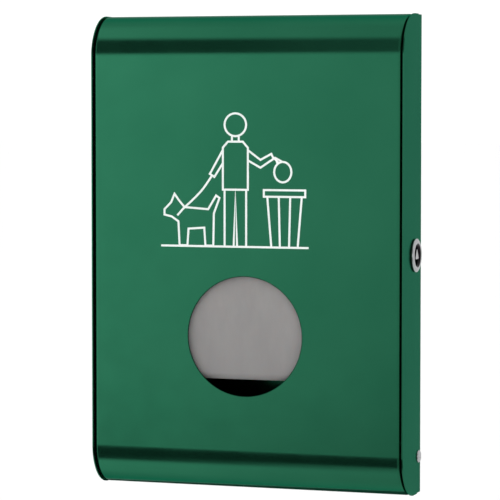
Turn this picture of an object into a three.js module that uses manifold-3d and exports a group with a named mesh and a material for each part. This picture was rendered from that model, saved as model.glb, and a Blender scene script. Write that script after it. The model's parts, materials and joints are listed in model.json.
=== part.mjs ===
// Dog waste bag dispenser: a wall cabinet of folded sheet steel. A back pan and two side plates with
// rounded front corners carry a wrap-around door, which tilts forward on two screws low down at the
// back and is held shut by a quarter-turn lock in the right side plate. A pack of bags hangs on two
// hooks behind the round opening in the door.
// Millimetres. +Z up, the front faces -Y, the wall is the plane y = 0, and the origin is the
// middle of the back pan's rear face.
import * as THREE from "three";
import { mergeVertices } from "three/addons/utils/BufferGeometryUtils.js";
import Module from "manifold-3d";

const wasm = await Module();
wasm.setup();

// ---- driving dimensions ----
const HEIGHT = 400;
const WIDTH = 274;
const DEPTH = 56;
const CORNER_R = 35; // rounding of the side plates, top and bottom front
const SHEET = 1; // sheet thickness
const RIM = { depth: 10.5, inset: 0.25, low: 0.5 }; // the pan's rims, a little inside the side plates
const DOOR_GAP = 1.9; // between a side plate and the door's cheek
const DOOR_INSET = 0.5; // the door's face lies this far behind the side plates' edges
const CHEEK = 18; // depth of the door's folded cheeks
const EAR_R = 5.5; // end of the cheek around the pivot screw
const OPENING_R = 50;
const OPENING_Z = -68.5;
const PIVOT = { y: -7, z: -169 };
const SCREW_HOLE = 3.2;
const BUSH_HOLE = 4.1;
const LOCK = { y: -19.25, z: 0 };
const PACK = { half: 102, back: -10, neck: -38.5, front: -51.5, bottom: -105.5, top: 160 };
const HOOK = { x: 60, z: 146, r: 2.5, rise: 13 }; // hooks of the hanger rail
const HANGING_HOLE = { z: 144.8, r: 4 }; // in the pack and its header card
const RAIL = { half: 95, low: 132, high: 160, stud: 80, thick: 2 };
const STRIKE = { low: 18, high: 34, thick: 1.5, hook: -9.5, inner: 110 };
const RIVET = { places: [-50, -43.5], z: 26, shank: 1.6, head: 3, hole: 1.9 };
const TOP_LIP = { depth: 22, z: 196.5 }; // lips of the back pan
const BOTTOM_LIP = { depth: 27, z: -189.5 };
const WALL_HOLE = { x: 112, z: 150, r: 4 };
const BAND_SLOT = { x: 38, places: [-70, 110], length: 28, width: 9 };
const TABS = [[-150, -40], [42, 175]]; // heights of a side plate's rear tabs
const LINE = 1.7; // line width of the pictogram
const PRINT = 0.25; // thickness of the print film

// ---- worked-out places ----
const HALF_W = WIDTH / 2;
const HALF_H = HEIGHT / 2;
const PLATE_IN = HALF_W - SHEET; // inner face of a side plate
const DOOR_HALF = PLATE_IN - DOOR_GAP;
const DOOR_FRONT = -DEPTH + DOOR_INSET;
const DOOR_R = CORNER_R - DOOR_INSET;
const DOOR_TOP = HALF_H - DOOR_INSET;
const ARC = { y: -DEPTH + CORNER_R, z: HALF_H - CORNER_R }; // centre of the upper corner rounding
const DOOR_END = THREE.MathUtils.degToRad(265); // where the sheet stops under the cabinet
const ARC_STEPS = 7;

// ---- materials ----
function finish(color, roughness, metalness) {
  return new THREE.MeshStandardMaterial({ color, roughness, metalness });
}
const GREEN = finish(0x286c50, 0.32, 0.6);
const WHITE = finish(0xeef5f0, 0.5, 0);
const CHROME = finish(0xc8cacc, 0.18, 1);
const ZINC = finish(0x9fa3a6, 0.4, 1);
const RUBBER = finish(0x1b1c1d, 0.8, 0);
const NYLON = finish(0xe6e2d6, 0.5, 0);
const CARD = finish(0xb49a76, 0.9, 0);
const FILM = finish(0x94918f, 0.45, 0);

// ---- shape helpers ----
// A closed geometry as a solid that can be joined and cut.
function solid(geometry) {
  const bare = geometry.clone();
  bare.deleteAttribute("normal");
  bare.deleteAttribute("uv");
  const merged = mergeVertices(bare, 1e-4);
  return new wasm.Manifold(
    new wasm.Mesh({
      numProp: 3,
      vertProperties: merged.attributes.position.array,
      triVerts: new Uint32Array(merged.index.array),
    }),
  );
}

// The solid back as a geometry for a mesh.
function surface(body) {
  const made = body.getMesh();
  const geometry = new THREE.BufferGeometry();
  geometry.setAttribute("position", new THREE.BufferAttribute(made.vertProperties, 3));
  geometry.setIndex(new THREE.BufferAttribute(made.triVerts, 1));
  geometry.computeVertexNormals();
  return geometry;
}

const X = new THREE.Vector3(1, 0, 0);
const Y = new THREE.Vector3(0, 1, 0);
const Z = new THREE.Vector3(0, 0, 1);
const SIDE_VIEW = new THREE.Matrix4().makeBasis(Y, Z, X); // a (y, z) outline, pulled along +X
const FRONT_VIEW = new THREE.Matrix4().makeBasis(X, Z, Y.clone().negate()); // (x, z), pulled to -Y

function across(outline, x0, x1, curveSegments = ARC_STEPS) {
  const made = new THREE.ExtrudeGeometry(outline, { depth: x1 - x0, bevelEnabled: false, curveSegments });
  return solid(made.translate(0, 0, x0).applyMatrix4(SIDE_VIEW));
}

function forward(outline, y0, y1, curveSegments = ARC_STEPS) {
  const made = new THREE.ExtrudeGeometry(outline, { depth: y0 - y1, bevelEnabled: false, curveSegments });
  return solid(made.translate(0, 0, -y0).applyMatrix4(FRONT_VIEW));
}

function block(x0, x1, y0, y1, z0, z1) {
  const made = new THREE.BoxGeometry(x1 - x0, y1 - y0, z1 - z0);
  return solid(made.translate((x0 + x1) / 2, (y0 + y1) / 2, (z0 + z1) / 2));
}

function circle(u, v, radius) {
  return new THREE.Shape().absarc(u, v, radius, 0, 2 * Math.PI, false);
}

// A polygon of the given corner radius, such as a nut or the square of a spindle.
function polygon(sides, radius, turn = 0) {
  const corners = Array.from({ length: sides }, (_, i) => {
    const a = turn + (2 * Math.PI * i) / sides;
    return new THREE.Vector2(radius * Math.cos(a), radius * Math.sin(a));
  });
  return new THREE.Shape(corners);
}

// A slot with round ends, lying along u.
function slot(u, v, length, width) {
  const r = width / 2;
  const reach = length / 2 - r;
  const made = new THREE.Shape();
  made.absarc(u + reach, v, r, -Math.PI / 2, Math.PI / 2, false);
  made.absarc(u - reach, v, r, Math.PI / 2, 1.5 * Math.PI, false);
  return made;
}

// A body turned about the x axis from the (radius, x) corners of its closed half section.
function turned(corners, steps = 32) {
  const section = corners.map(([r, x]) => new THREE.Vector2(r, x));
  if (THREE.ShapeUtils.isClockWise(section)) section.reverse();
  if (section[0].x > 0) section.push(section[0].clone());
  return solid(new THREE.LatheGeometry(section, steps).rotateZ(-Math.PI / 2));
}

const object = new THREE.Group();
object.name = "dog_waste_bag_dispenser";

function add(name, body, material, parent = object) {
  const mesh = new THREE.Mesh(surface(body), material);
  mesh.name = name;
  parent.add(mesh);
  return mesh;
}

// ---- casing ----
function sidePlateOutline() {
  const outline = new THREE.Shape();
  outline.moveTo(-RIM.depth, -HALF_H);
  outline.lineTo(-RIM.depth, HALF_H);
  outline.absarc(ARC.y, ARC.z, CORNER_R, Math.PI / 2, Math.PI, false);
  outline.absarc(ARC.y, -ARC.z, CORNER_R, Math.PI, 1.5 * Math.PI, false);
  return outline;
}

// The pan: back plate, a rim along each side, and a lip at the top and bottom that stops the rain.
function backPan() {
  const half = HALF_W - RIM.inset;
  const tall = HALF_H - RIM.low;
  const lipHalf = DOOR_HALF - 3;
  const through = [SHEET, -2 * SHEET];
  let body = block(-half, half, -SHEET, 0, -tall, tall);
  body = body.add(block(half - SHEET, half, -RIM.depth, 0, -tall, tall));
  body = body.add(block(-half, SHEET - half, -RIM.depth, 0, -tall, tall));
  for (const lip of [TOP_LIP, BOTTOM_LIP]) {
    body = body.add(block(-lipHalf, lipHalf, -lip.depth, 0, lip.z - SHEET / 2, lip.z + SHEET / 2));
  }
  // wall screw holes near the corners, and slots for the bands of a post clamp
  for (const side of [-1, 1]) {
    for (const z of [-WALL_HOLE.z, WALL_HOLE.z]) {
      body = body.subtract(forward(circle(side * WALL_HOLE.x, z, WALL_HOLE.r), ...through));
    }
    for (const z of BAND_SLOT.places) {
      const band = slot(side * BAND_SLOT.x, z, BAND_SLOT.length, BAND_SLOT.width);
      body = body.subtract(forward(band, ...through));
    }
  }
  body = body.subtract(across(circle(PIVOT.y, PIVOT.z, SCREW_HOLE), -HALF_W, HALF_W));
  return body.subtract(lockHole());
}

function lockHole() {
  return across(circle(LOCK.y, LOCK.z, 11.25), PLATE_IN - 2, HALF_W + 2, 12);
}

// A right-hand side plate; its two rear tabs lap inside the pan's rim, where they are spot-welded.
function sidePlate() {
  const outer = HALF_W - RIM.inset - SHEET - 0.05;
  const inner = outer - SHEET;
  const front = -2 * RIM.depth - 1;
  let body = across(sidePlateOutline(), PLATE_IN, HALF_W);
  for (const [low, high] of TABS) {
    body = body.add(block(inner, outer, front, -2 * SHEET, low, high));
    body = body.add(block(inner, PLATE_IN + SHEET / 2, front, -RIM.depth - 0.5, low, high));
  }
  return body;
}

// ---- door ----
// The sheet, seen from the side: flat top, two quarter rounds and the flat face between them.
function doorSheetOutline() {
  const outline = new THREE.Shape();
  const innerR = DOOR_R - SHEET;
  outline.moveTo(-2, DOOR_TOP);
  outline.absarc(ARC.y, ARC.z, DOOR_R, Math.PI / 2, Math.PI, false);
  outline.absarc(ARC.y, -ARC.z, DOOR_R, Math.PI, DOOR_END, false);
  outline.absarc(ARC.y, -ARC.z, innerR, DOOR_END, Math.PI, true);
  outline.absarc(ARC.y, ARC.z, innerR, Math.PI, Math.PI / 2, true);
  outline.lineTo(-2, DOOR_TOP - SHEET);
  return outline;
}

// A cheek follows the sheet and widens at the bottom into the ear that hangs on the pivot screw.
function cheekOutline() {
  const bandR = DOOR_R - CHEEK;
  const outline = new THREE.Shape();
  outline.moveTo(-2, DOOR_TOP);
  outline.absarc(ARC.y, ARC.z, DOOR_R, Math.PI / 2, Math.PI, false);
  outline.absarc(ARC.y, -ARC.z, DOOR_R, Math.PI, DOOR_END, false);
  outline.absarc(PIVOT.y, PIVOT.z, EAR_R, -Math.PI / 9, Math.PI / 2, false);
  outline.lineTo(DOOR_FRONT + CHEEK, PIVOT.z + EAR_R);
  outline.absarc(ARC.y, ARC.z, bandR, Math.PI, Math.PI / 2, true);
  outline.lineTo(-2, DOOR_TOP - CHEEK);
  return outline;
}

function door() {
  const inner = DOOR_HALF - SHEET;
  let body = across(doorSheetOutline(), -DOOR_HALF, DOOR_HALF);
  body = body.add(across(cheekOutline(), inner, DOOR_HALF));
  body = body.add(across(cheekOutline(), -DOOR_HALF, -inner));
  const opening = circle(0, OPENING_Z, OPENING_R);
  body = body.subtract(forward(opening, DOOR_FRONT + 2 * SHEET, DOOR_FRONT - SHEET, 24));
  body = body.subtract(across(circle(PIVOT.y, PIVOT.z, BUSH_HOLE), -HALF_W, HALF_W, 12));
  return body.subtract(rivetHoles());
}

function rivetHoles() {
  const hole = across(circle(0, RIVET.z, RIVET.hole), STRIKE.inner, HALF_W, 4);
  const [front, rear] = RIVET.places;
  return hole.translate(0, front, 0).add(hole.translate(0, rear, 0));
}

// The hook that the lock's cam catches: a strip riveted inside the right cheek, turned in at the back.
function strike() {
  const { low, high, thick, hook: back, inner } = STRIKE;
  const face = DOOR_HALF - SHEET;
  const front = DOOR_FRONT + 1.5 * SHEET;
  const strip = block(face - thick, face, front, back, low, high);
  return strip.subtract(rivetHoles()).add(block(inner, face, back - thick, back, low, high));
}

function strikeRivet() {
  const face = DOOR_HALF - SHEET - STRIKE.thick;
  const { shank, head } = RIVET;
  const top = [[0, face - 1.25], [head - 1.2, face - 1.25], [head, face - 0.25], [head, face]];
  return turned([...top, [shank, face], [shank, DOOR_HALF], [0, DOOR_HALF]], 16);
}

// ---- hinge hardware, built on its own axis: x = 0 is the outer face of a side plate ----
function pivotHardware(side) {
  const group = new THREE.Group();
  group.position.set(side * HALF_W, PIVOT.y, PIVOT.z);
  group.rotation.z = side > 0 ? 0 : Math.PI;
  object.add(group);
  const suffix = side > 0 ? "_right" : "_left";
  const ear = DOOR_HALF - SHEET - HALF_W; // inner face of the door's ear
  const flange = ear - 1.2;
  const washerEnd = flange - 1.5;
  const nutEnd = washerEnd - 5.75;
  const head = [[0, 2.1], [2.6, 1.9], [4.4, 1.2], [5.25, 0.3], [5.25, 0.05]];
  const screw = turned([...head, [3, 0.05], [3, nutEnd - 1], [0, nutEnd - 1]], 24);
  add("pivot_screw" + suffix, screw.subtract(block(1.3, 4, -8, 8, -0.7, 0.7)), ZINC, group);
  const sleeve = [[3.8, ear - 0.2], [3.8, -1.4], [3.15, -1.4]];
  const bush = [[3.15, flange], [5.6, flange], [5.6, ear - 0.2], ...sleeve];
  add("pivot_bush" + suffix, turned(bush, 24), NYLON, group);
  const washer = [[3.2, washerEnd], [5.5, washerEnd], [5.5, flange - 0.25], [3.2, flange - 0.25]];
  add("pivot_washer" + suffix, turned(washer, 24), ZINC, group);
  const hexagon = across(polygon(6, 10 / Math.sqrt(3)), nutEnd, washerEnd - 0.25);
  const bore = across(circle(0, 0, 3.15), nutEnd - 1, washerEnd, 12);
  add("pivot_nut" + suffix, hexagon.subtract(bore), ZINC, group);
}

// ---- lock, on its own axis: x = 0 is the outer face of the right side plate ----
function lock() {
  const group = new THREE.Group();
  group.position.set(HALF_W, LOCK.y, LOCK.z);
  object.add(group);
  const bezel = [[10.9, 0.55], [13.6, 0.55], [14, 1], [13.7, 1.9], [12.8, 2.5], [9.4, 2.5], [8.2, 1.8]];
  const housing = [...bezel, [8.2, -4.5], [7, -4.5], [7, -19.5], [10.9, -19.5]];
  add("lock_housing", turned(housing, 40), CHROME, group);
  const gasket = [[11.2, 0.05], [13.4, 0.05], [13.4, 0.5], [11.2, 0.5]];
  add("lock_gasket", turned(gasket, 40), RUBBER, group);
  const nut = across(polygon(6, 27 / Math.sqrt(3), Math.PI / 6), -6.25, -1.25);
  add("lock_nut", nut.subtract(across(circle(0, 0, 11.15), -7, 0, 12)), ZINC, group);
  // the spindle: a round barrel, a triangle for the key in front, a square for the cam behind
  const flange = [[0, -3.25], [7.9, -3.25], [7.9, -4.25]];
  const barrel = turned([...flange, [6.75, -4.25], [6.75, -19.75], [0, -19.75]], 24);
  const key = across(polygon(3, 5.2, Math.PI / 2), -4, 1.7);
  const square = across(polygon(4, 4.9, Math.PI / 4), -23, -19.5);
  const screwHole = across(circle(0, 0, 2.2), -24, -12);
  add("lock_spindle", barrel.add(key).add(square).subtract(screwHole), CHROME, group);
  add("lock_cam", cam(), ZINC, group);
  const washer = [[2.3, -24.25], [6, -24.25], [6, -23.25], [2.3, -23.25]];
  add("lock_cam_washer", turned(washer, 20), ZINC, group);
  const screw = across(polygon(6, 8 / Math.sqrt(3)), -27.5, -24.5).add(across(circle(0, 0, 2), -25, -13));
  add("lock_cam_screw", screw, ZINC, group);
}

// The cam points forward, clear of the strike; a quarter turn lifts it in front of the strike's hook.
function cam() {
  const boss = 10;
  const reach = 34;
  const half = 7;
  const outline = new THREE.Shape();
  const start = Math.PI - Math.asin(half / boss);
  outline.absarc(0, 0, boss, -start, start, false);
  outline.lineTo(-reach + 3, half);
  outline.lineTo(-reach, half - 3);
  outline.lineTo(-reach, -half + 3);
  outline.lineTo(-reach + 3, -half);
  return across(outline, -23, -20).subtract(across(polygon(4, 5.15, Math.PI / 4), -24, -19));
}

// ---- bag pack and its hanger ----
function hangerRail() {
  let rail = block(-RAIL.half, RAIL.half, -SHEET - RAIL.thick, -SHEET, RAIL.low, RAIL.high);
  for (const x of [-RAIL.stud, RAIL.stud]) {
    rail = rail.subtract(forward(circle(x, HOOK.z, 2.7), 0, -5));
  }
  return rail;
}

// A straight rod with its front end turned up, so that the pack can't slide off.
function hook(x) {
  const bend = 5;
  const start = -SHEET - RAIL.thick;
  const tip = PACK.neck - 10;
  const bendStart = new THREE.Vector3(x, tip + bend, HOOK.z);
  const corner = new THREE.Vector3(x, tip, HOOK.z);
  const bendEnd = new THREE.Vector3(x, tip, HOOK.z + bend);
  const path = new THREE.CurvePath();
  path.add(new THREE.LineCurve3(new THREE.Vector3(x, start, HOOK.z), bendStart));
  path.add(new THREE.QuadraticBezierCurve3(bendStart, corner, bendEnd));
  path.add(new THREE.LineCurve3(bendEnd, new THREE.Vector3(x, tip, HOOK.z + HOOK.rise)));
  const round = circle(0, 0, HOOK.r);
  return solid(new THREE.ExtrudeGeometry(round, { steps: 24, curveSegments: 6, extrudePath: path }));
}

function railStud(x) {
  return forward(circle(x, HOOK.z, 2.5), -SHEET, -8.5);
}

function railNut(x) {
  const body = forward(polygon(6, 8 / Math.sqrt(3)), -3.25, -7.25).translate(x, 0, HOOK.z);
  return body.subtract(forward(circle(x, HOOK.z, 2.65), -3, -8));
}

// The pack is pressed together under its header card and swells towards the door lower down.
function bagStack() {
  const outline = new THREE.Shape();
  outline.moveTo(PACK.back, PACK.bottom);
  outline.lineTo(PACK.back, PACK.top);
  outline.lineTo(PACK.neck, PACK.top);
  outline.lineTo(PACK.neck, 132);
  outline.bezierCurveTo(PACK.neck, 112, PACK.front, 116, PACK.front, 90);
  outline.lineTo(PACK.front, PACK.bottom);
  let body = across(outline, -PACK.half, PACK.half, 8);
  for (const x of [-HOOK.x, HOOK.x]) {
    body = body.subtract(forward(circle(x, HANGING_HOLE.z, HANGING_HOLE.r), 0, PACK.front, 6));
  }
  return body;
}

// A folded card saddle over the top of the pack, with the two hanging holes.
function headerCard() {
  const thick = 0.75;
  const gap = 0.25;
  const low = 134;
  const front = PACK.neck - gap;
  const back = PACK.back + gap;
  const top = PACK.top + gap;
  let body = block(-PACK.half, PACK.half, front - thick, back + thick, low, top + thick);
  body = body.subtract(block(-PACK.half - 1, PACK.half + 1, front, back, low - 1, top));
  for (const x of [-HOOK.x, HOOK.x]) {
    body = body.subtract(forward(circle(x, HANGING_HOLE.z, HANGING_HOLE.r), 0, PACK.front, 6));
  }
  return body;
}

// ---- pictogram: a person with a dog on a lead drops a tied bag into a bin ----
// Plain sign outlines, in millimetres from the left end of the ground line.
function offsetPoints(points, closed, distance) {
  const last = points.length - 1;
  return points.map((p, i) => {
    const before = points[i > 0 ? i - 1 : closed ? last : 0];
    const after = points[i < last ? i + 1 : closed ? 0 : last];
    const one = p.clone().sub(before);
    const two = after.clone().sub(p);
    const a = (one.length() ? one : two).clone().normalize();
    const b = (two.length() ? two : one).clone().normalize();
    const normal = new THREE.Vector2(-a.y - b.y, a.x + b.x).normalize();
    const spread = Math.max(0.5, normal.dot(new THREE.Vector2(-a.y, a.x)));
    return p.clone().addScaledVector(normal, distance / spread);
  });
}

function stroke(points, closed = false) {
  const left = offsetPoints(points, closed, LINE / 2);
  const right = offsetPoints(points, closed, -LINE / 2);
  if (!closed) return new THREE.Shape([...left, ...right.reverse()]);
  const ring = new THREE.Shape(right);
  ring.holes.push(new THREE.Path(left));
  return ring;
}

function vectors(list) {
  return list.map(([u, v]) => new THREE.Vector2(u, v));
}

function line(...list) {
  return stroke(vectors(list));
}

function outline(...list) {
  const points = vectors(list);
  return stroke(THREE.ShapeUtils.isClockWise(points) ? points.reverse() : points, true);
}

function curve(steps, ...list) {
  return stroke(new THREE.SplineCurve(vectors(list)).getPoints(steps));
}

function oval(u, v, ru, rv, steps = 20) {
  const points = new THREE.EllipseCurve(u, v, ru, rv, 0, 2 * Math.PI, false).getPoints(steps);
  return stroke(points.slice(0, -1), true);
}

function person() {
  return [
    oval(66, 104, 9.5, 9.5, 24),
    line([63, 95], [63, 90]),
    line([69, 95], [69, 90]),
    outline([55, 85], [59.5, 90], [72.5, 90], [77, 85], [77, 50], [55, 50]),
    line([56.5, 50], [56.5, 3]),
    line([64.5, 3], [66, 50], [67.5, 3]),
    line([75.5, 50], [75.5, 3]),
    line([55, 83], [43.5, 63], [47.5, 60.5], [55, 72]),
    line([77, 83], [88, 75], [97.5, 80], [99.5, 76], [88, 68.5], [77, 74.5]),
  ];
}

function dog() {
  return [
    outline(
      [3, 33], [9, 39], [12, 46], [16.5, 40], [21, 35], [42, 33.5], [49, 45], [52, 43], [47, 30],
      [46.5, 3], [39.5, 3], [38.5, 18], [24.5, 17], [23.5, 3], [16.5, 3], [15.5, 23], [9.5, 27], [3, 28.5],
    ),
    line([14.5, 28], [21, 35]),
    curve(10, [20, 34], [28, 41], [37, 50], [45, 61]),
  ];
}

function bin() {
  return [
    outline([91, 44.5], [91, 50], [127, 50], [127, 44.5]),
    line([94, 44.5], [97.5, 3]),
    line([124, 44.5], [120.5, 3]),
    line([104, 44.5], [105, 3]),
    line([114, 44.5], [113, 3]),
    line([99.5, 77], [104, 72.5]),
    oval(107.5, 65, 7.5, 8.5, 20),
    line([103, 71], [101.5, 76.5], [107, 73.5]),
  ];
}

function pictogram() {
  const ground = line([0, 2.5], [130, 2.5]);
  const bodies = [ground, ...person(), ...dog(), ...bin()].map((shape) => forward(shape, 0, -PRINT, 6));
  const joined = bodies.reduce((all, body) => all.add(body));
  return joined.translate(-74, DOOR_FRONT, 4);
}

// ---- assembly ----
add("back_pan", backPan(), GREEN);
const rightPlate = sidePlate();
add("side_plate_left", rightPlate.mirror([1, 0, 0]), GREEN);
add("side_plate_right", rightPlate.subtract(lockHole()), GREEN);
add("front_door", door(), GREEN);
add("pictogram_print", pictogram(), WHITE);
add("lock_strike", strike(), ZINC);
RIVET.places.forEach((y, i) => {
  const rivet = add(i ? "strike_rivet_rear" : "strike_rivet_front", strikeRivet(), ZINC);
  rivet.position.set(0, y, RIVET.z);
});
pivotHardware(1);
pivotHardware(-1);
lock();
add("hanger_rail", hangerRail(), ZINC);
for (const side of [1, -1]) {
  const suffix = side > 0 ? "_right" : "_left";
  add("hanger_hook" + suffix, hook(side * HOOK.x), ZINC);
  add("rail_stud" + suffix, railStud(side * RAIL.stud), ZINC);
  add("rail_nut" + suffix, railNut(side * RAIL.stud), ZINC);
}
add("header_card", headerCard(), CARD);
add("bag_stack", bagStack(), FILM);

export default object;
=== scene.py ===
"""Looks of the dog waste bag dispenser: a green powder-coated wall cabinet with a tilting front.

Metres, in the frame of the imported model: +Z up, the front faces -Y, the wall is y = 0, and z = 0 is
halfway up. The door, the side plates, the lock's face, the pivot screws, the bag pack and its header
card are modelled here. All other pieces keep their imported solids, with softened edges.
"""

import json
import math

import bmesh
import bpy
import numpy as np
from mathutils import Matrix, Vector


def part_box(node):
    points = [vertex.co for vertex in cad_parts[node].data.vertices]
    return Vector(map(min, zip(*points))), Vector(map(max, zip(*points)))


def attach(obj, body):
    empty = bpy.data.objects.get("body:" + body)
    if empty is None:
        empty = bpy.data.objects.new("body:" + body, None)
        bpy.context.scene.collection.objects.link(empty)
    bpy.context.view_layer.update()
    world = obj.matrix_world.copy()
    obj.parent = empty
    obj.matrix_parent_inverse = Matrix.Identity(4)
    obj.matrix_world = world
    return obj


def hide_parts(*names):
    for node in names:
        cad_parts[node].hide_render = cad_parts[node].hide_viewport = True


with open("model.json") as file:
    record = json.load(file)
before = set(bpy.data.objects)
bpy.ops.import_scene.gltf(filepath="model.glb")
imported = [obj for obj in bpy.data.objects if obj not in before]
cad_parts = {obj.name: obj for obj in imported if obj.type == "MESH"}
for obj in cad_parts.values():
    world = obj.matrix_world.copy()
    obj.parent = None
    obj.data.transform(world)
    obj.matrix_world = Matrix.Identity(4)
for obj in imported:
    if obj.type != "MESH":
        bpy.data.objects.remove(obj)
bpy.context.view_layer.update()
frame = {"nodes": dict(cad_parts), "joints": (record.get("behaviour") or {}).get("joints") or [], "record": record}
MM = 0.001

# ---- places and sizes, from the frame ----
PLATE_LOW, PLATE_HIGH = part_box("side_plate_right")
DOOR_LOW, DOOR_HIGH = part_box("front_door")
PACK_LOW, PACK_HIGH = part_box("bag_stack")
JOINTS = {joint["name"]: joint for joint in frame["joints"]}
PIVOT = Vector(JOINTS["door_tilt"]["pos_m"])
LOCK = Vector(JOINTS["lock_turn"]["pos_m"])
HAND_BOX = frame["record"]["physics"]["openings"][0]["box_m"]
OPENING_Z = (HAND_BOX[0][2] + HAND_BOX[1][2]) / 2
OPENING_R = 50 * MM
SHEET = 1 * MM
CORNER_R = 35 * MM
HALF_H = PLATE_HIGH.z
ARC_Y = PLATE_LOW.y + CORNER_R
ARC_Z = HALF_H - CORNER_R
DOOR_R = CORNER_R - (DOOR_LOW.y - PLATE_LOW.y)
DOOR_END = 265  # degrees, where the door's sheet stops under the cabinet
DOOR_REAR = -2 * MM  # rear edge of the door's top
DOOR_BEND = 2 * MM  # outer radius of the bends along the door's sides
CHEEK = 18 * MM  # depth of the door's folded cheeks
EAR_R = 5.5 * MM  # end of the cheek around the pivot screw
BUSH_HOLE = 4.1 * MM
LOCK_HOLE = 11.25 * MM
RIM_FRONT = -10.5 * MM  # the side plates start here, in front of the back pan's rims
TABS = ((-150 * MM, -40 * MM), (42 * MM, 175 * MM))  # heights of a side plate's rear tabs
TAB_FRONT, TAB_REAR = -22 * MM, -2 * MM
HANGING_HOLE = 4 * MM  # in the bag pack and its header card
FLOOR_Z = -0.9
PAINT_METALLIC = 0.95


# ---- mesh helpers ----
def piece(name, points, faces):
    """A mesh object from its points and faces, with its faces turned outwards."""
    mesh = bpy.data.meshes.new(name)
    mesh.from_pydata([tuple(p) for p in points], [], faces)
    made = bpy.data.objects.new(name, mesh)
    bpy.context.scene.collection.objects.link(made)
    shell = bmesh.new()
    shell.from_mesh(mesh)
    bmesh.ops.remove_doubles(shell, verts=shell.verts, dist=1e-7)
    bmesh.ops.recalc_face_normals(shell, faces=shell.faces)
    shell.to_mesh(mesh)
    shell.free()
    return made


def baked(made):
    """The piece with its modifiers applied, so that its mesh is final."""
    graph = bpy.context.evaluated_depsgraph_get()
    mesh = bpy.data.meshes.new_from_object(made.evaluated_get(graph))
    made.modifiers.clear()
    made.data = mesh
    return made


def joined(name, parts):
    """One object from several whose volumes stay apart or meet inside each other."""
    shell = bmesh.new()
    for part in parts:
        shell.from_mesh(part.data)
        bpy.data.objects.remove(part)
    mesh = bpy.data.meshes.new(name)
    shell.to_mesh(mesh)
    shell.free()
    made = bpy.data.objects.new(name, mesh)
    bpy.context.scene.collection.objects.link(made)
    return made


def cut(made, *cutters):
    """Subtracts the cutters, which are used up."""
    for cutter in cutters:
        step = made.modifiers.new("cut", "BOOLEAN")
        step.operation = "DIFFERENCE"
        step.solver = "EXACT"
        step.object = cutter
    baked(made)
    for cutter in cutters:
        bpy.data.objects.remove(cutter)
    return made


def softened(made, width, segments=2, angle=35):
    """Rounds the sharp edges and shades the rest smoothly."""
    for face in made.data.polygons:
        face.use_smooth = True
    edge = made.modifiers.new("edges", "BEVEL")
    edge.width = width
    edge.segments = segments
    edge.limit_method = "ANGLE"
    edge.angle_limit = math.radians(angle)
    normals = made.modifiers.new("normals", "WEIGHTED_NORMAL")
    normals.keep_sharp = True
    return made


def arc(centre_y, centre_z, radius, start, end, steps):
    """(y, z) points along an arc, angles in degrees from +Y towards +Z."""
    angles = np.radians(np.linspace(start, end, steps + 1))
    return [(centre_y + radius * math.cos(a), centre_z + radius * math.sin(a)) for a in angles]


def slab(name, outline, x0, x1):
    """A flat plate: a (y, z) outline pulled from x0 to x1."""
    count = len(outline)
    points = [(x, y, z) for x in (x0, x1) for y, z in outline]
    faces = [tuple(range(count)), tuple(range(count, 2 * count))]
    for i in range(count):
        j = (i + 1) % count
        faces.append((i, j, count + j, count + i))
    return piece(name, points, faces)


def block(name, low, high):
    outline = [(low[1], low[2]), (high[1], low[2]), (high[1], high[2]), (low[1], high[2])]
    return slab(name, outline, low[0], high[0])


def turned(name, section, centre, side=1, steps=96):
    """A closed (radius, x) half section turned about an axis along X through centre."""
    rings = []
    for radius, x in section:
        angles = np.linspace(0, 2 * math.pi, steps, endpoint=False)
        rings.append([(x, radius * math.cos(a), radius * math.sin(a)) for a in angles])
    points = [Vector((side * x, y, z)) + centre for ring in rings for x, y, z in ring]
    faces = []
    for ring in range(len(section)):
        following = (ring + 1) % len(section)
        if section[ring][0] == 0 and section[following][0] == 0:
            continue
        for i in range(steps):
            j = (i + 1) % steps
            near, far = ring * steps, following * steps
            faces.append((near + i, near + j, far + j, far + i))
    return piece(name, points, faces)


def rod(name, radius, y, z, x0, x1, steps=64):
    """A plain cylinder along X, used as a cutter."""
    return slab(name, arc(y, z, radius, 0, 360 - 360 / steps, steps - 1), x0, x1)


def bore_forward(name, radius, x, z, y0, y1, steps=128):
    """A plain cylinder along Y, used as a cutter."""
    ring = arc(x, z, radius, 0, 360 - 360 / steps, steps - 1)
    points = [(u, y, v) for y in (y0, y1) for u, v in ring]
    faces = [tuple(range(steps)), tuple(range(steps, 2 * steps))]
    for i in range(steps):
        j = (i + 1) % steps
        faces.append((i, j, steps + j, steps + i))
    return piece(name, points, faces)


# ---- door ----
def door_path():
    """(y, z) points of the door's outer face from the rear top edge round to the rear bottom edge,
    each with its outward direction."""
    stops = [(DOOR_REAR, DOOR_HIGH.z, 90)]
    for angle in np.linspace(90, 180, 25):
        stops.append((*arc(ARC_Y, ARC_Z, DOOR_R, angle, angle, 0)[0], angle))
    reach = ARC_Z - 1 * MM
    stops += [(DOOR_LOW.y, z, 180) for z in np.linspace(reach, -reach, 5)]
    for angle in np.linspace(180, DOOR_END, 25):
        stops.append((*arc(ARC_Y, -ARC_Z, DOOR_R, angle, angle, 0)[0], angle))
    return stops


def door_section(half, bend, depth):
    """(x, depth) points across the door: cheek, bend, face, bend, cheek."""
    side = [(half, depth), (half, (depth + bend) / 2)]
    for angle in np.linspace(0, 90, 7):
        a = math.radians(angle)
        side.append((half - bend + bend * math.cos(a), bend - bend * math.sin(a)))
    reach = half - bend - 0.5 * MM
    middle = [(x, 0) for x in np.linspace(reach, -reach, 5)]
    return side + middle + [(-x, d) for x, d in reversed(side)]


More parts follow.
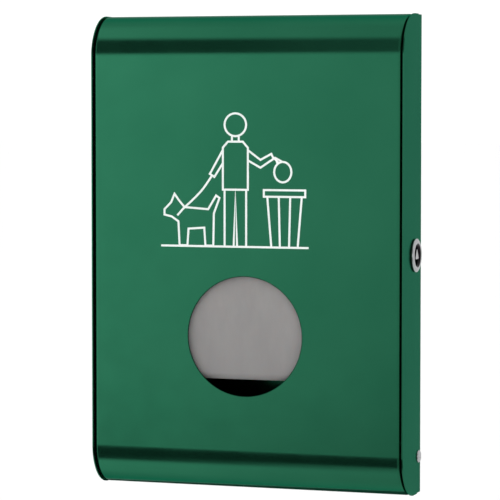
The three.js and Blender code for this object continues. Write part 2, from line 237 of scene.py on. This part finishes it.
def ear(side):
    """The part of a cheek that reaches back to the pivot screw, a little thinner than the cheek."""
    thinner = 0.04 * MM
    radius = DOOR_R - DOOR_BEND - 0.2 * MM
    outline = [(ARC_Y - radius, PIVOT.z + EAR_R)]
    outline += arc(ARC_Y, -ARC_Z, radius, 185, DOOR_END, 16)
    outline += arc(PIVOT.y, PIVOT.z, EAR_R, -20, 90, 14)
    ends = sorted((side * (DOOR_HIGH.x - SHEET + thinner), side * (DOOR_HIGH.x - thinner)))
    bore = rod("bore", BUSH_HOLE, PIVOT.y, PIVOT.z, ends[0] - SHEET, ends[1] + SHEET)
    return cut(slab("ear", outline, *ends), bore)


def door():
    """One folded and rolled sheet with the hand opening, and its two ears."""
    path = door_path()
    section = door_section(DOOR_HIGH.x, DOOR_BEND, CHEEK)
    points = []
    for y, z, angle in path:
        out = (math.cos(math.radians(angle)), math.sin(math.radians(angle)))
        points += [(x, y - depth * out[0], z - depth * out[1]) for x, depth in section]
    across = len(section)
    faces = []
    for row in range(len(path) - 1):
        for column in range(across - 1):
            first = row * across + column
            faces.append((first, first + 1, first + across + 1, first + across))
    skin = piece("front_shell", points, faces)
    middle = skin.data.polygons[len(skin.data.polygons) // 2]
    wall = skin.modifiers.new("sheet", "SOLIDIFY")
    wall.thickness = SHEET
    wall.offset = -1 if middle.normal.y < 0 else 1
    wall.use_even_offset = True
    baked(skin)
    reach = 5 * MM
    cut(skin, bore_forward("opening", OPENING_R, 0, OPENING_Z, DOOR_LOW.y - reach, DOOR_LOW.y + reach))
    made = joined("door_shell", [skin, ear(1), ear(-1)])
    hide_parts("front_door")
    return softened(made, 0.25 * MM), "door"


# ---- casing ----
def side_plate(side, name, stands_for):
    """A flat plate with rounded front corners, and two tabs that lap inside the back pan's rim."""
    outline = [(RIM_FRONT, -HALF_H), (RIM_FRONT, HALF_H)]
    outline += arc(ARC_Y, ARC_Z, CORNER_R, 90, 180, 48)
    outline += arc(ARC_Y, -ARC_Z, CORNER_R, 180, 270, 48)
    inner = PLATE_HIGH.x - SHEET
    parts = [slab("plate", outline, *sorted((side * inner, side * PLATE_HIGH.x)))]
    if side > 0:
        hole = rod("lock_hole", LOCK_HOLE, LOCK.y, LOCK.z, inner - SHEET, PLATE_HIGH.x + SHEET)
        cut(parts[0], hole)
    tab, lap, margin = PLATE_LOW.x, 0.2 * MM, 0.5 * MM
    for low, high in TABS:
        x0, x1 = sorted((side * tab, side * (tab + SHEET)))
        parts.append(block("tab", (x0, TAB_FRONT, low), (x1, TAB_REAR, high)))
        x0, x1 = sorted((side * (tab + lap), side * (inner + lap)))
        step_low = (x0, TAB_FRONT + margin, low + margin)
        parts.append(block("step", step_low, (x1, RIM_FRONT - SHEET, high - margin)))
    made = joined(name, parts)
    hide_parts(stands_for)
    return softened(made, 0.22 * MM), "casing"


# ---- lock and pivot screws ----
def lock_rosette():
    """The lock's housing: a domed ring outside, a stepped bore, and the threaded barrel inside. The
    section is in (radius, x) millimetres, from the outer face of the side plate."""
    crest, root, pitch, inner_end = 10.9, 10.55, 0.5, -19.5
    ring = [(crest, 0.55), (13.5, 0.55)]
    turns = np.radians([-60, -20, 20, 50])
    crown = [(13.4 + 0.6 * math.cos(a), 1.15 + 0.6 * math.sin(a)) for a in turns]
    dome = [(13.1, 2.05), (12.3, 2.4), (11.2, 2.5), (10.2, 2.4), (9.4, 2.1), (8.9, 1.6), (8.6, 0.8)]
    bore = [(8.2, 0.2), (8.2, -4.5), (7, -4.5), (7, inner_end)]
    thread = []
    for x in np.arange(-19, -1.2, pitch):
        thread += [(root, x), (crest, x + pitch / 2)]
    section = ring + crown + dome + bore + [(root, inner_end)] + thread
    made = turned("lock_rosette", [(r * MM, x * MM) for r, x in section], LOCK)
    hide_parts("lock_housing")
    return softened(made, 0.15 * MM, angle=50), "casing"


def lock_key_post():
    """The turning spindle: a stepped barrel with the three-sided key post in front, and the cam's
    square behind."""
    inner_end, post_front, post_r, rounding = -19.75, 1.7 * MM, 4.3 * MM, 0.9 * MM
    barrel = [(0, -3.25), (7.6, -3.25), (7.9, -3.45), (7.9, -4.25)]
    barrel += [(6.75, -4.25), (6.75, inner_end), (0, inner_end)]
    parts = [turned("barrel", [(r * MM, x * MM) for r, x in barrel], LOCK)]
    outline = []
    for turn in (90, 210, 330):
        a = math.radians(turn)
        y, z = LOCK.y + post_r * math.cos(a), LOCK.z + post_r * math.sin(a)
        outline += arc(y, z, rounding, math.degrees(a) - 60, math.degrees(a) + 60, 6)
    parts.append(slab("post", outline, LOCK.x - 4 * MM, LOCK.x + post_front))
    half = 3.4 * MM
    corner = (LOCK.x - 23 * MM, LOCK.y - half, LOCK.z - half)
    parts.append(block("square", corner, (LOCK.x - 19.5 * MM, LOCK.y + half, LOCK.z + half)))
    made = joined("lock_key_post", parts)
    cut(made, rod("hole", 2.2 * MM, LOCK.y, LOCK.z, LOCK.x - 24 * MM, LOCK.x - 12 * MM))
    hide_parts("lock_spindle")
    return softened(made, 0.3 * MM, 3), "lock"


def pivot_screw(side, name, stands_for):
    """A low domed screw with a driving slot. The section is in (radius, x) millimetres."""
    head_r, head_h, shank_r = 5.25, 2.1, 3
    rounding = np.radians(np.linspace(0, 80, 14))
    dome = [(head_r * math.cos(a), 0.35 + 1.75 * math.sin(a)) for a in rounding]
    tip = (PLATE_HIGH.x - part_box("pivot_screw_right")[0].x) / MM
    shank = [(0, -tip), (2.6, -tip), (shank_r, 0.4 - tip), (shank_r, 0.05), (5.1, 0.05)]
    section = [(r * MM, x * MM) for r, x in shank + dome + [(0, head_h)]]
    centre = Vector((side * PLATE_HIGH.x, PIVOT.y, PIVOT.z))
    made = turned(name, section, centre, side)
    near, far = sorted((centre.x + side * 1.2 * MM, centre.x + side * 4 * MM))
    reach, half = 7 * MM, 0.7 * MM
    low = (near, PIVOT.y - reach, PIVOT.z - half)
    cut(made, block("slot", low, (far, PIVOT.y + reach, PIVOT.z + half)))
    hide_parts(stands_for)
    return softened(made, 0.12 * MM), "casing"


# ---- bag pack ----
BUNDLES, COLUMNS, ROWS = 14, 30, 44
PINCH_TOP, PINCH_LOW = 132 * MM, 92 * MM  # the pack narrows to its neck between these heights
NECK = PACK_LOW.y + 13.5 * MM  # front of the neck


def ripple(u, z, wave):
    """Gentle folds of the film, about -3 to 3."""
    folds = math.sin(9 * u + wave[0]) + math.sin(17 * u + 20 * z + wave[1])
    return folds + math.sin(31 * z + 5 * u + wave[2]) * 0.8


def bundle(share, wave, shift):
    """One folded bundle, from share[0] to share[1] of the pack's depth."""
    points = {}
    for row in range(ROWS + 1):
        z = PACK_LOW.z + (PACK_HIGH.z - PACK_LOW.z) * row / ROWS
        t = np.clip((z - PINCH_LOW) / (PINCH_TOP - PINCH_LOW), 0, 1)
        front = PACK_LOW.y + (NECK - PACK_LOW.y) * t * t * (3 - 2 * t)
        y_near = front + (PACK_HIGH.y - front) * share[0]
        y_far = front + (PACK_HIGH.y - front) * share[1]
        low_z = shift[1] + 0.5 * MM if row == 0 else 0
        for column in range(COLUMNS + 1):
            u = column / COLUMNS
            x = (2 * u - 1) * (PACK_HIGH.x - 0.8 * MM) + shift[0]
            edge = min(u, 1 - u) * COLUMNS
            gap = (0.12 + 0.5 * max(0, 1 - edge) + (0.4 if row == 0 else 0)) * MM
            bulge = 0.09 * MM * ripple(u, z, wave) * (1 - t)
            points[row, column, 0] = (x, y_near + gap + bulge + 0.25 * MM, z + low_z)
            points[row, column, 1] = (x, y_far - gap + bulge * 0.5 + 0.1 * MM, z + low_z)
    return closed_grid(points, ROWS, COLUMNS)


def hook_holes(y0, y1, steps):
    """Cutters for the two holes that the hanger's hooks go through."""
    cutters = []
    for node in ("hanger_hook_left", "hanger_hook_right"):
        low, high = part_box(node)
        x = (low.x + high.x) / 2
        z = low.z + (high.x - low.x) / 2 - 1.2 * MM
        cutters.append(bore_forward("hole", HANGING_HOLE, x, z, y0, y1, steps))
    return cutters


def bag_pack():
    """A pile of folded film bundles, pinched together at the top where the header card holds them."""
    random = np.random.default_rng(7)
    parts = []
    for index in range(BUNDLES):
        wave = random.uniform(0, 2 * math.pi, 6)
        shift = random.uniform(-0.5, 0.5, 2) * MM
        parts.append(bundle((index / BUNDLES, (index + 1) / BUNDLES), wave, shift))
    made = joined("bag_pack", parts)
    cut(made, *hook_holes(-60 * MM, -5 * MM, 24))
    for face in made.data.polygons:
        face.use_smooth = True
    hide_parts("bag_stack")
    return made, "casing"


def closed_grid(points, rows, columns):
    """A sheet of two faces, near (0) and far (1), closed round its edges."""
    index = {key: number for number, key in enumerate(points)}
    faces = []
    for row in range(rows):
        for column in range(columns):
            for side in (0, 1):
                corners = [(row, column), (row, column + 1), (row + 1, column + 1), (row + 1, column)]
                faces.append(tuple(index[r, c, side] for r, c in corners))
    border = [(0, c) for c in range(columns)] + [(r, columns) for r in range(rows)]
    border += [(rows, c) for c in range(columns, 0, -1)] + [(r, 0) for r in range(rows, 0, -1)]
    for first, second in zip(border, border[1:] + border[:1]):
        corners = [(*first, 0), (*second, 0), (*second, 1), (*first, 1)]
        faces.append(tuple(index[corner] for corner in corners))
    return piece("sheet", list(points.values()), faces)


def header():
    """A folded card saddle over the pack's top."""
    low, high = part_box("header_card")
    thick = 0.75 * MM
    inside_low = (low.x - MM, low.y + thick, low.z - MM)
    inside = block("inside", inside_low, (high.x + MM, high.y - thick, high.z - thick))
    made = joined("header_saddle", [block("fold", low, high)])
    cut(made, inside, *hook_holes(low.y - MM, high.y + MM, 48))
    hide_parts("header_card")
    return softened(made, 0.3 * MM), "casing"


# ---- materials ----
class Look:
    """A material under construction: a Principled surface and the nodes that feed it."""

    def __init__(self, name, color, roughness, metallic=0.0):
        self.material = bpy.data.materials.new(name)
        self.material.use_nodes = True
        self.tree = self.material.node_tree
        self.surface = self.tree.nodes["Principled BSDF"]
        self.surface.inputs["Base Color"].default_value = (*color, 1)
        self.surface.inputs["Roughness"].default_value = roughness
        self.surface.inputs["Metallic"].default_value = metallic
        self.place = self.tree.nodes.new("ShaderNodeTexCoord").outputs["Object"]

    def link(self, source, target):
        self.tree.links.new(source, target)

    def noise(self, scale, detail=3.0, stretch=(1, 1, 1)):
        """Noise between about 0.3 and 0.7, with features 1 / scale metres across."""
        mapping = self.tree.nodes.new("ShaderNodeMapping")
        mapping.inputs["Scale"].default_value = stretch
        self.link(self.place, mapping.inputs["Vector"])
        texture = self.tree.nodes.new("ShaderNodeTexNoise")
        texture.inputs["Scale"].default_value = scale
        texture.inputs["Detail"].default_value = detail
        self.link(mapping.outputs["Vector"], texture.inputs["Vector"])
        return texture.outputs["Fac"]

    def along(self, axis):
        """The coordinate along X, Y or Z, in metres."""
        split = self.tree.nodes.new("ShaderNodeSeparateXYZ")
        self.link(self.place, split.inputs["Vector"])
        return split.outputs[axis]

    def off_axis(self, centre, across):
        """The distance from a line through the centre; across is 0 along the line and 1 across it."""
        offset = self.tree.nodes.new("ShaderNodeVectorMath")
        offset.operation = "SUBTRACT"
        offset.inputs[1].default_value = centre
        self.link(self.place, offset.inputs[0])
        flat = self.tree.nodes.new("ShaderNodeVectorMath")
        flat.operation = "MULTIPLY"
        flat.inputs[1].default_value = across
        self.link(offset.outputs["Vector"], flat.inputs[0])
        length = self.tree.nodes.new("ShaderNodeVectorMath")
        length.operation = "LENGTH"
        self.link(flat.outputs["Vector"], length.inputs[0])
        return length.outputs["Value"]

    def combine(self, operation, first, second):
        node = self.tree.nodes.new("ShaderNodeMath")
        node.operation = operation
        self.link(first, node.inputs[0])
        self.link(second, node.inputs[1])
        return node.outputs["Value"]

    def spread(self, source, low, high, start=0.3, end=0.7):
        """The source stretched from start..end to low..high."""
        node = self.tree.nodes.new("ShaderNodeMapRange")
        node.inputs["From Min"].default_value = start
        node.inputs["From Max"].default_value = end
        node.inputs["To Min"].default_value = low
        node.inputs["To Max"].default_value = high
        self.link(source, node.inputs["Value"])
        return node.outputs["Result"]

    def in_box(self, low, high, soft):
        """1 inside a box and 0 outside it, with soft edges."""
        mask = None
        for axis, start, end in zip("XYZ", low, high):
            place = self.along(axis)
            rising = self.spread(place, 0, 1, start - soft, start)
            falling = self.spread(place, 1, 0, end, end + soft)
            edge = self.combine("MULTIPLY", rising, falling)
            mask = self.combine("MULTIPLY", mask, edge) if mask else edge
        return mask

    def tint(self, source, low, high, start=0.3, end=0.7):
        """Base colour running from low to high with the source."""
        node = self.tree.nodes.new("ShaderNodeMix")
        node.data_type = "RGBA"
        node.inputs["A"].default_value = (*low, 1)
        node.inputs["B"].default_value = (*high, 1)
        self.link(self.spread(source, 0, 1, start, end), node.inputs["Factor"])
        self.link(node.outputs["Result"], self.surface.inputs["Base Color"])

    def cover(self, mask, color):
        """Lays a colour over the base colour where the mask is 1."""
        node = self.tree.nodes.new("ShaderNodeMix")
        node.data_type = "RGBA"
        node.inputs["B"].default_value = (*color, 1)
        target = self.surface.inputs["Base Color"]
        self.link(target.links[0].from_socket, node.inputs["A"])
        self.link(mask, node.inputs["Factor"])
        self.link(node.outputs["Result"], target)

    def rough(self, source, low, high):
        self.link(self.spread(source, low, high), self.surface.inputs["Roughness"])

    def bump(self, source, height, strength=1.0):
        """Relief of the given height in metres; several calls stack up."""
        node = self.tree.nodes.new("ShaderNodeBump")
        node.inputs["Distance"].default_value = height
        node.inputs["Strength"].default_value = strength
        self.link(source, node.inputs["Height"])
        target = self.surface.inputs["Normal"]
        if target.is_linked:
            self.link(target.links[0].from_socket, node.inputs["Normal"])
        self.link(node.outputs["Normal"], target)


def green_paint():
    """Satin powder coat with a metallic ground: faint orange peel and slight colour drift, painted
    shade along the door's bottom edge and on the opening's cut edge, and painted shade inside the back pan."""
    look = Look("green_powder_coat", (0.03, 0.2, 0.107), 0.15, PAINT_METALLIC)
    look.surface.inputs["Specular Tint"].default_value = (0.38, 0.56, 0.49, 1)
    look.surface.inputs["Specular IOR Level"].default_value = 0.1
    look.tint(look.noise(14, 2), (0.027, 0.192, 0.102), (0.032, 0.208, 0.112))
    painted_bottom_shade(look)
    painted_rim_shade(look)
    # painted shade: the inside of the back pan is darkened, where little light reaches
    painted_pan_shade = look.in_box((-0.12, -9.5 * MM, -0.19), (0.12, -0.9 * MM, 0.19), 0.3 * MM)
    look.cover(painted_pan_shade, (0.007, 0.05, 0.027))
    look.rough(look.noise(60, 3), 0.13, 0.17)
    look.bump(look.noise(520, 2), 0.012 * MM)
    return look.material


def painted_bottom_shade(look):
    """Painted shade along the door's bottom edge, higher towards the right: a dark, dull band in the paint."""
    height_left, height_right, soft = 2.9 * MM, 5.1 * MM, 0.6 * MM
    across = look.along("X")
    drop = look.spread(across, -height_left, -height_right, DOOR_LOW.x, DOOR_HIGH.x)
    level = look.combine("ADD", look.along("Z"), drop)
    below = look.spread(level, 1, 0, DOOR_LOW.z - soft, DOOR_LOW.z + soft)
    inward = look.spread(across, 1, 0, DOOR_HIGH.x + 0.3 * MM, DOOR_HIGH.x + 0.8 * MM)
    bottom_shade = look.combine("MULTIPLY", below, inward)
    # painted shade: a dark, non-metallic band along the door's bottom edge
    look.cover(bottom_shade, (0.004, 0.03, 0.017))
    look.link(look.spread(bottom_shade, PAINT_METALLIC, 0, 0, 1), look.surface.inputs["Metallic"])
    look.link(look.spread(bottom_shade, 1.5, 1, 0, 1), look.surface.inputs["IOR"])


def painted_rim_shade(look):
    """Painted shade on the cut edge of the hand opening."""
    radius = look.off_axis((0, 0, OPENING_Z), (1, 0, 1))
    rim = look.spread(radius, 1, 0, OPENING_R + 0.3 * MM, OPENING_R + 0.7 * MM)
    front = look.spread(look.along("Y"), 1, 0, DOOR_LOW.y + SHEET, DOOR_LOW.y + 2 * SHEET)
    # painted shade: the opening's cut edge is darkened
    look.cover(look.combine("MULTIPLY", rim, front), (0.006, 0.04, 0.022))


def white_print():
    """Matt screen print, unevenly thick."""
    look = Look("white_print", (0.86, 0.9, 0.88), 0.45)
    look.tint(look.noise(90, 4), (0.8, 0.86, 0.83), (0.92, 0.95, 0.93))
    look.bump(look.noise(1500, 2), 0.01 * MM)
    return look.material


def chrome():
    """Bright, with painted shade in the recess round the key post."""
    look = Look("polished_chrome", (0.66, 0.67, 0.68), 0.12, 1.0)
    radius = look.off_axis(LOCK, (0, 1, 1))
    within_ring = look.spread(radius, 1, 0, 9.8 * MM, 10.3 * MM)
    round_post = look.spread(radius, 0, 1, 4.9 * MM, 5.3 * MM)
    recess_shade = look.combine("MULTIPLY", within_ring, round_post)
    # painted shade: the recess between the ring and the key post is darkened nearly to black
    look.tint(recess_shade, (0.66, 0.67, 0.68), (0.03, 0.028, 0.03), 0, 1)
    look.rough(look.noise(300, 4), 0.08, 0.2)
    look.bump(look.noise(900, 3), 0.004 * MM)
    return look.material


def zinc():
    """Zinc plate: mottled grey with a brushed grain."""
    look = Look("zinc_plate", (0.7, 0.71, 0.72), 0.35, 1.0)
    look.tint(look.noise(160, 4), (0.6, 0.61, 0.63), (0.8, 0.81, 0.81))
    look.rough(look.noise(240, 3), 0.25, 0.45)
    look.bump(look.noise(500, 3, (1, 1, 12)), 0.006 * MM)
    return look.material


def rubber():
    """Dull black rubber."""
    look = Look("black_rubber", (0.015, 0.015, 0.016), 0.75)
    look.rough(look.noise(400, 3), 0.65, 0.85)
    look.bump(look.noise(1200, 2), 0.02 * MM)
    return look.material


def nylon():
    """Waxy natural nylon."""
    look = Look("nylon", (0.72, 0.7, 0.62), 0.45)
    look.surface.inputs["Subsurface Weight"].default_value = 0.2
    look.surface.inputs["Subsurface Scale"].default_value = 1 * MM
    look.bump(look.noise(900, 2), 0.01 * MM)
    return look.material


def card():
    """Plain brown board with paper fibres."""
    look = Look("brown_board", (0.4, 0.28, 0.16), 0.85)
    look.tint(look.noise(700, 6, (1, 1, 4)), (0.33, 0.23, 0.13), (0.46, 0.33, 0.2))
    look.bump(look.noise(1400, 4, (3, 1, 1)), 0.03 * MM)
    return look.material


def film():
    """Thin grey polythene: soft sheen, long vertical creases and small crinkles."""
    look = Look("grey_film", (0.3, 0.29, 0.285), 0.42)
    look.surface.inputs["Subsurface Weight"].default_value = 0.15
    look.surface.inputs["Subsurface Scale"].default_value = 1.5 * MM
    # painted shade: the film is darker towards the bottom of the pack
    look.tint(look.along("Z"), (0.26, 0.252, 0.249), (0.31, 0.297, 0.29), -0.1, -0.03)
    look.cover(look.spread(look.noise(50, 5, (1.4, 1, 0.6)), 0, 0.6), (0.23, 0.222, 0.222))
    look.rough(look.noise(120, 3), 0.36, 0.55)
    look.bump(look.noise(45, 4, (1.6, 1, 0.5)), 0.5 * MM)
    look.bump(look.noise(420, 3), 0.04 * MM)
    return look.material


def paint_nodes(materials):
    """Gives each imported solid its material, and softens its edges."""
    for entry in frame["record"]["subparts"]:
        node = frame["nodes"][entry["node"]]
        node.data.materials.clear()
        node.data.materials.append(materials[entry["material_slot"]])
        weld = node.modifiers.new("weld", "WELD")
        weld.merge_threshold = 0.005 * MM
        thin = entry["node"] == "pictogram_print"
        softened(node, 0.05 * MM if thin else 0.2 * MM)


# ---- stage, light and camera ----
GAP_LEVEL = 0.03  # of the dark gaps between the panels
HAZE = 0.3  # least level of the gaps away from the cabinet's left
BEHIND = 0.6  # level behind the cabinet
LIGHT = 1.12  # level that lights matt surfaces and shows as the background


def floor():
    """A plain pale floor, which shiny surfaces don't show."""
    size = 60
    corners = [(-size, -size), (size, -size), (size, size), (-size, size)]
    made = piece("floor", [(x, y, FLOOR_Z) for x, y in corners], [(0, 1, 2, 3)])
    look = Look("pale_floor", (0.93, 0.93, 0.93), 0.9)
    look.rough(look.noise(3, 3), 0.85, 0.95)
    made.data.materials.append(look.material)
    made.visible_glossy = False


class Studio:
    """Grey levels by direction, for the colour of the world."""

    def __init__(self, tree):
        self.tree = tree
        place = tree.nodes.new("ShaderNodeTexCoord").outputs["Generated"]
        split = tree.nodes.new("ShaderNodeSeparateXYZ")
        tree.links.new(place, split.inputs["Vector"])
        self.direction = split.outputs

    def levels(self, axis, stops):
        """Levels along an axis of the direction, which runs from -1 to 1."""
        stretch = self.tree.nodes.new("ShaderNodeMapRange")
        stretch.inputs["From Min"].default_value = -1
        self.tree.links.new(self.direction[axis], stretch.inputs["Value"])
        ramp = self.tree.nodes.new("ShaderNodeValToRGB")
        self.tree.links.new(stretch.outputs["Result"], ramp.inputs["Fac"])
        for number, (value, level) in enumerate(stops):
            if number < 2:
                stop = ramp.color_ramp.elements[number]
                stop.position = (value + 1) / 2
            else:
                stop = ramp.color_ramp.elements.new((value + 1) / 2)
            stop.color = (level, level, level, 1)
        return ramp.outputs["Color"]

    def panels(self, lower, upper, upper_level):
        """Levels by height: bright panels with a gap below the eye line and one above it. Each gap
        is given by its lowest and highest angle in degrees."""
        heights = [(-90, 0.62), (-52, 0.68), (lower[0] - 8, 0.64), (lower[0], GAP_LEVEL)]
        heights += [(lower[1], GAP_LEVEL), (lower[1] + 3, 0.73), (0, 0.77), (2, 0.86), (5, 0.86)]
        heights += [(upper[0], upper_level), (upper[1], upper_level), (52, 0.64), (90, 0.62)]
        stops = [(math.sin(math.radians(angle)), level) for angle, level in heights]
        return self.levels("Z", stops)

    def change(self, axis, start, end, low, high):
        """A smooth change from low to high between two places on an axis of the direction."""
        node = self.tree.nodes.new("ShaderNodeMapRange")
        node.interpolation_type = "SMOOTHSTEP"
        node.inputs["From Min"].default_value = start
        node.inputs["From Max"].default_value = end
        node.inputs["To Min"].default_value = low
        node.inputs["To Max"].default_value = high
        self.tree.links.new(self.direction[axis], node.inputs["Value"])
        return node.outputs["Result"]

    def blend(self, factor, first, second):
        """From first to second with the factor. Either can be a plain grey level."""
        node = self.tree.nodes.new("ShaderNodeMix")
        node.data_type = "RGBA"
        self.tree.links.new(factor, node.inputs["Factor"])
        for name, source in (("A", first), ("B", second)):
            if isinstance(source, float):
                node.inputs[name].default_value = (source, source, source, 1)
            else:
                self.tree.links.new(source, node.inputs[name])
        return node.outputs["Result"]

    def brighter(self, first, second):
        node = self.tree.nodes.new("ShaderNodeVectorMath")
        node.operation = "MAXIMUM"
        self.tree.links.new(first, node.inputs[0])
        self.tree.links.new(second, node.inputs[1])
        return node.outputs["Vector"]

    def scaled(self, source, factor):
        node = self.tree.nodes.new("ShaderNodeVectorMath")
        node.operation = "SCALE"
        self.tree.links.new(source, node.inputs["Vector"])
        self.tree.links.new(factor, node.inputs["Scale"])
        return node.outputs["Vector"]


def surroundings():
    """A white studio. Shiny surfaces see bright panels in front with two level dark gaps between
    them, one above the eye line and one below it, deepest a little left of the cabinet, and an
    even grey behind. The panels get dimmer to the right, where the upper gap is lighter."""
    world = bpy.data.worlds.new("studio")
    bpy.context.scene.world = world
    world.use_nodes = True
    tree = world.node_tree
    studio = Studio(tree)
    left = studio.panels((-40, -10.5), (10.5, 42), GAP_LEVEL)
    right = studio.panels((-31, -10), (12, 42), 0.2)
    strips = studio.blend(studio.change("X", -0.35, -0.26, 0, 1), left, right)
    haze = studio.levels("X", [(-0.62, HAZE), (-0.48, 0.0), (-0.2, 0.0), (-0.06, HAZE)])
    dimming = studio.change("X", -0.42, -0.24, 1.31, 0.775)
    front = studio.scaled(studio.brighter(strips, haze), dimming)
    room = studio.blend(studio.change("Y", -0.1, 0.25, 0, 1), front, BEHIND)
    glossy = tree.nodes.new("ShaderNodeLightPath").outputs["Is Glossy Ray"]
    light = studio.blend(glossy, LIGHT, room)
    tree.links.new(light, tree.nodes["Background"].inputs["Color"])


def camera():
    """A little above mid-height and to the right, looking down at the cabinet's middle."""
    data = bpy.data.cameras.new("camera")
    data.lens, data.sensor_width = 189.5, 36
    right, distance, height = 0.709, 2.068, 0.1277
    pitch, turn = math.radians(86.76), math.radians(18.8)
    made = bpy.data.objects.new("camera", data)
    made.location = (right, PLATE_LOW.y - distance, height)
    made.rotation_euler = (pitch, 0, turn)
    bpy.context.scene.collection.objects.link(made)
    bpy.context.scene.camera = made


# ---- assembly ----
MATERIALS = {
    "green_paint": green_paint(),
    "white_print": white_print(),
    "polished_chrome": chrome(),
    "zinc_steel": zinc(),
    "black_rubber": rubber(),
    "nylon": nylon(),
    "header_board": card(),
    "bag_film": film(),
}
PIECES = [
    (door(), "green_paint"),
    (side_plate(1, "plate_right", "side_plate_right"), "green_paint"),
    (side_plate(-1, "plate_left", "side_plate_left"), "green_paint"),
    (lock_rosette(), "polished_chrome"),
    (lock_key_post(), "polished_chrome"),
    (pivot_screw(1, "screw_right", "pivot_screw_right"), "zinc_steel"),
    (pivot_screw(-1, "screw_left", "pivot_screw_left"), "zinc_steel"),
    (bag_pack(), "bag_film"),
    (header(), "header_board"),
]
for (made_piece, body), slot_name in PIECES:
    made_piece.data.materials.clear()
    made_piece.data.materials.append(MATERIALS[slot_name])
    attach(made_piece, body)
paint_nodes(MATERIALS)
floor()
surroundings()
camera()
bpy.context.scene.view_settings.view_transform = "Standard"
